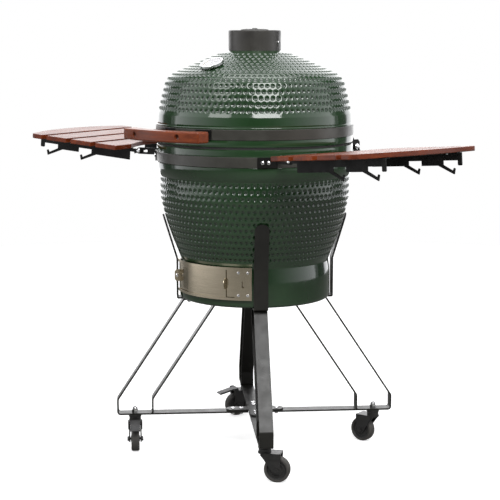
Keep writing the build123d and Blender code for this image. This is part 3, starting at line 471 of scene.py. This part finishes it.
# lid
lid_spline = np.array(catmull([(296, 1013), (292.4, 1038), (287, 1062), (281.6, 1086), (278.2, 1098), (271.9, 1122),
                               (267, 1134), (257.8, 1146), (240, 1158), (212, 1170), (188, 1180.5), (159.5, 1193),
                               (127, 1206), (104.6, 1215)], 14))
dimple_part = lid_spline[lid_spline[:, 1] >= 1044.9]
dimple_part = resample(dimple_part, 2.32)
s, rows, gap = dimple_rows(dimple_part, 18.6, 16.6, (272, 102))
lid_dome = ceramic("lid_ceramic", [
    plain_seg([(273, 951.5), (294.6, 951.5), (296.0, 952.4), (296.5, 954), (296.5, 971), (296.2, 971.8), (295.3, 972),
               (295.3, 987), (295.3, 1002), (296.6, 1002.2), (297.2, 1003.2), (297.2, 1006), (296.7, 1007.2),
               (295.5, 1008.0), (295.5, 1009.2), (296.0, 1010.4)]),
    plain_seg([(296, 1013), (295.4, 1024), (294.7, 1034.6), (294.5, 1035.8), (294.0, 1037.2), (292.4, 1041.6)]),
    (dimple_part, rows, s, gap, 7.9),
    plain_seg([(103, 1215.7), (98, 1217.2), (92, 1219), (86, 1221), (82, 1222), (62, 1222), (62, 1200), (105, 1190),
               (150, 1172), (195, 1153), (222, 1140), (238, 1128), (250, 1110), (259.6, 1086), (265, 1062),
               (270.5, 1038), (273, 1002), (273, 975)]),
], "lid", (62, 1200))
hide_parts("lid_dome")


# ------------------------------------------------------------------ wheels: dark core, grey tread
def lathe_piece(name, profile, groups, frame_m, body, sides=64, angle=32.0, mats=None):
    """profile of (radius, along) in mm round the local z axis; groups gives a material per span"""
    n = len(profile)
    th = np.arange(sides) * 2 * math.pi / sides
    verts, faces, idx = [], [], []
    for r, z in profile:
        for t in th:
            verts.append(frame_m @ Vector((r * math.cos(t) * MM, r * math.sin(t) * MM, z * MM)))
    for i in range(n):
        j = (i + 1) % n
        for k in range(sides):
            k2 = (k + 1) % sides
            faces.append((i * sides + k, i * sides + k2, j * sides + k2, j * sides + k))
            idx.append(groups[i])
    ob = new_object(name, verts, faces, mats, body, angle, idx)
    return ob


LEGS = {"fl": -135.0, "fr": -45.0, "rl": 135.0, "rr": 45.0}
HEAD = {"fl": -44.6, "fr": 29.0, "rl": 243.5, "rr": 183.6}
for tag, ang in LEGS.items():
    a, h = math.radians(ang), math.radians(HEAD[tag])
    hx, hy = math.cos(h), math.sin(h)
    px = 0.372 * math.cos(a) + 0.036 * hx
    py = 0.372 * math.sin(a) + 0.036 * hy
    axis = Vector((hy, -hx, 0))
    x_ax = Vector((hx, hy, 0))
    z_up = axis.cross(x_ax)
    fm = Matrix(((x_ax.x, z_up.x, axis.x, px), (x_ax.y, z_up.y, axis.y, py), (x_ax.z, z_up.z, axis.z, 0.038),
                 (0, 0, 0, 1)))
    half = [(4.05, 14.0), (8.6, 14.0), (9.2, 13.4), (9.8, 11.0), (11.5, 10.2), (12.5, 9.4), (17.5, 9.2), (18.2, 10.2),
            (20.0, 10.3), (20.8, 9.2), (25.4, 9.3), (26.2, 10.8), (27.6, 12.3), (28.6, 12.5), (29.2, 11.7),
            (29.9, 12.45), (33.4, 12.5), (35.4, 12.0), (36.8, 10.9), (37.6, 9.2), (37.95, 7.0), (38.0, 4.0),
            (38.0, 0.0)]
    prof = [(r, -z) for r, z in half] + [(r, z) for r, z in half[::-1][1:]]
    grp = [0 if max(prof[i][0], prof[(i + 1) % len(prof)][0]) <= 29.3 else 1 for i in range(len(prof))]
    w = lathe_piece("wheel_look_" + tag, prof, grp, fm, "wheel_" + tag, 72, 32.0,
                    [M["core"], M["tread"]])
    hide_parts("wheel_" + tag)


# ------------------------------------------------------------------ rear springs: wound wire
def wire(name, pts, radius, mat, body, closed=False):
    cu = bpy.data.curves.new(name, "CURVE")
    cu.dimensions = "3D"
    cu.bevel_depth = radius
    cu.bevel_resolution = 3
    cu.use_fill_caps = True
    sp = cu.splines.new("POLY")
    sp.points.add(len(pts) - 1)
    for p, q in zip(sp.points, pts):
        p.co = (*q, 1)
    sp.use_cyclic_u = closed
    cu.materials.append(mat)
    ob = bpy.data.objects.new(name, cu)
    scene.collection.objects.link(ob)
    me = bpy.data.meshes.new_from_object(ob.evaluated_get(bpy.context.evaluated_depsgraph_get()))
    bpy.data.objects.remove(ob)
    ob = bpy.data.objects.new(name, me)
    for p in me.polygons:
        p.use_smooth = True
    scene.collection.objects.link(ob)
    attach(ob, body)
    return ob


for side, name in ((1, "spring_right"), (-1, "spring_left")):
    pts = []
    turns = 17
    for i in range(turns * 20 + 1):
        t = i / 20 * 2 * math.pi
        x = 0.026 + 0.076 * i / (turns * 20)
        pts.append((side * x, 0.342 + 0.0088 * math.cos(t), 0.921 + 0.0088 * math.sin(t)))
    wire(name, pts, 0.00195, M["spring"], "body")
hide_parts("hinge_springs")


# ------------------------------------------------------------------ thermometer face
TN = Vector((0, -0.3809, 0.9246)).normalized()
TX = Vector((1, 0, 0))
TY = TN.cross(TX)
TO = Vector((0, -0.1897, 1.17945))


def on_dial(r, deg, lift):
    t = math.radians(deg)
    return TO + TX * (r * MM * math.cos(t)) + TY * (r * MM * math.sin(t)) + TN * (lift * MM)


def dial_ring(name, r0, r1, a0, a1, mat, lift=6.86, thick=0.05):
    n = max(4, int(abs(a1 - a0) / 3))
    verts, faces = [], []
    for i in range(n + 1):
        a = a0 + (a1 - a0) * i / n
        verts += [on_dial(r0, a, lift), on_dial(r1, a, lift), on_dial(r1, a, lift + thick), on_dial(r0, a, lift + thick)]
    for i in range(n):
        o, q = 4 * i, 4 * i + 4
        for k in range(4):
            faces.append((o + k, o + (k + 1) % 4, q + (k + 1) % 4, q + k))
    faces += [(3, 2, 1, 0), (4 * n, 4 * n + 1, 4 * n + 2, 4 * n + 3)]
    return new_object(name, verts, faces, [mat], "lid")


dial_ring("dial_outer_line", 28.6, 29.0, -44, 224, M["mark"])
dial_ring("dial_low_zone", 25.6, 27.6, 150, 224, M["yellow"])
dial_ring("dial_high_zone", 25.6, 27.6, -44, 22, M["red"])
for k in range(41):
    a = 224 - 268 * k / 40
    major = k % 5 == 0
    dial_ring("dial_tick_%02d" % k, 25.0 if major else 27.0, 28.6, a - (0.9 if major else 0.4),
              a + (0.9 if major else 0.4), M["mark"])
for k in range(9):
    a = 224 - 268 * k / 8
    fc = bpy.data.curves.new("dial_number_%d" % k, "FONT")
    fc.body = str(50 * k)
    fc.size = 0.0052
    fc.align_x = "CENTER"
    fc.align_y = "CENTER"
    fc.extrude = 0.00003
    ob = bpy.data.objects.new("dial_number_%d" % k, fc)
    scene.collection.objects.link(ob)
    p = on_dial(20.6, a, 6.9)
    ob.matrix_world = Matrix(((TX.x, TY.x, TN.x, p.x), (TX.y, TY.y, TN.y, p.y), (TX.z, TY.z, TN.z, p.z), (0, 0, 0, 1)))
    me = bpy.data.meshes.new_from_object(ob.evaluated_get(bpy.context.evaluated_depsgraph_get()))
    mw = ob.matrix_world.copy()
    bpy.data.objects.remove(ob)
    me.materials.clear()
    me.materials.append(M["mark"])
    ob = bpy.data.objects.new("dial_number_%d" % k, me)
    scene.collection.objects.link(ob)
    ob.matrix_world = mw
    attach(ob, "lid")


# ------------------------------------------------------------------ studio
floor_me = bpy.data.meshes.new("floor")
nseg = 96
floor_me.from_pydata([(0, 0, -0.0005)] + [(4.5 * math.cos(2 * math.pi * k / nseg), 4.5 * math.sin(2 * math.pi * k / nseg),
                                           -0.0005) for k in range(nseg)], [],
                     [(0, k + 1, (k + 1) % nseg + 1) for k in range(nseg)])
floor = bpy.data.objects.new("floor", floor_me)
scene.collection.objects.link(floor)
fm = Mat("floor_white").set(Roughness=0.9, Emission_Color=(1, 1, 1, 1), Emission_Strength=0.62)
fm.color(fm.ramp(fm.noise(fm.coords(), 3.0), [(0.3, (0.84, 0.84, 0.84)), (0.7, (0.86, 0.86, 0.86))]))
# seen in the glaze the floor is a quiet grey
grey = fm.node("ShaderNodeBsdfDiffuse")
fm.link(fm.ramp(fm.noise(fm.coords(), 2.0), [(0.3, (0.30, 0.30, 0.29)), (0.7, (0.34, 0.34, 0.33))]), grey.inputs["Color"])
path = fm.node("ShaderNodeLightPath")
two = fm.node("ShaderNodeMixShader")
fm.link(path.outputs["Is Camera Ray"], two.inputs[0])
fm.link(grey.outputs[0], two.inputs[1])
fm.link(fm.b.outputs[0], two.inputs[2])
fm.link(two.outputs[0], fm.nt.nodes["Material Output"].inputs["Surface"])
floor_me.materials.append(fm.m)

world = bpy.data.worlds.new("studio")
scene.world = world
world.use_nodes = True
wn = world.node_tree
bg = wn.nodes["Background"]
out = wn.nodes["World Output"]
tc = wn.nodes.new("ShaderNodeTexCoord")
dot = wn.nodes.new("ShaderNodeVectorMath")
dot.operation = "DOT_PRODUCT"
dot.inputs[1].default_value = (-0.649, 0.760, 0.0)
wn.links.new(tc.outputs["Generated"], dot.inputs[0])
# glossy surfaces see a dark room with a bright backdrop behind the grill and a strip on each side
ramp = wn.nodes.new("ShaderNodeValToRGB")
for p, g in ((0.0, 0.012), (0.62, 0.018), (0.66, 0.03), (0.675, 0.22), (0.69, 0.22), (0.705, 0.04), (0.84, 0.07),
             (0.875, 0.9), (1.0, 1.0)):
    if p in (0.0, 1.0):
        e = ramp.color_ramp.elements[int(p)]
    else:
        e = ramp.color_ramp.elements.new(p)
    e.color = (g, g, g * 1.04, 1)
half_add = wn.nodes.new("ShaderNodeMath")
half_add.operation = "MULTIPLY_ADD"
half_add.inputs[1].default_value = 0.5
half_add.inputs[2].default_value = 0.5
wn.links.new(dot.outputs["Value"], half_add.inputs[0])
wn.links.new(half_add.outputs[0], ramp.inputs["Fac"])
lp = wn.nodes.new("ShaderNodeLightPath")
bg_gloss = wn.nodes.new("ShaderNodeBackground")
wn.links.new(ramp.outputs["Color"], bg_gloss.inputs["Color"])
bg_gloss.inputs["Strength"].default_value = 2.6
bg_fill = wn.nodes.new("ShaderNodeBackground")
bg_fill.inputs["Color"].default_value = (1, 1, 1, 1)
bg_fill.inputs["Strength"].default_value = 0.4
bg.inputs["Color"].default_value = (1, 1, 1, 1)
bg.inputs["Strength"].default_value = 1.0
mixer = wn.nodes.new("ShaderNodeMixShader")
wn.links.new(lp.outputs["Is Glossy Ray"], mixer.inputs[0])
wn.links.new(bg_fill.outputs[0], mixer.inputs[1])
wn.links.new(bg_gloss.outputs[0], mixer.inputs[2])
final = wn.nodes.new("ShaderNodeMixShader")
wn.links.new(lp.outputs["Is Camera Ray"], final.inputs[0])
wn.links.new(mixer.outputs[0], final.inputs[1])
wn.links.new(bg.outputs[0], final.inputs[2])
wn.links.new(final.outputs[0], out.inputs["Surface"])


def softbox(name, loc, target, size, power, color=(1, 1, 1)):
    ld = bpy.data.lights.new(name, "AREA")
    ld.shape = "RECTANGLE"
    ld.size, ld.size_y = size
    ld.energy = power
    ld.color = color
    ob = bpy.data.objects.new(name, ld)
    scene.collection.objects.link(ob)
    ob.location = loc
    ob.rotation_euler = (Vector(target) - Vector(loc)).to_track_quat("-Z", "Y").to_euler()
    return ob


def around(azimuth, distance, height):
    """a point beside the camera's line: azimuth from the camera, positive to its right"""
    a = math.radians(40.5 + azimuth)
    return (distance * math.sin(a), -distance * math.cos(a), height)


softbox("soft_main", around(15, 2.9, 3.3), (0, 0, 1.05), (1.9, 1.95), 140)
softbox("soft_left", around(-44, 2.9, 3.3), (0, 0, 1.05), (1.5, 1.85), 42)
softbox("soft_top", (-0.3, 0.5, 4.0), (0, 0, 0.9), (2.2, 1.6), 40)
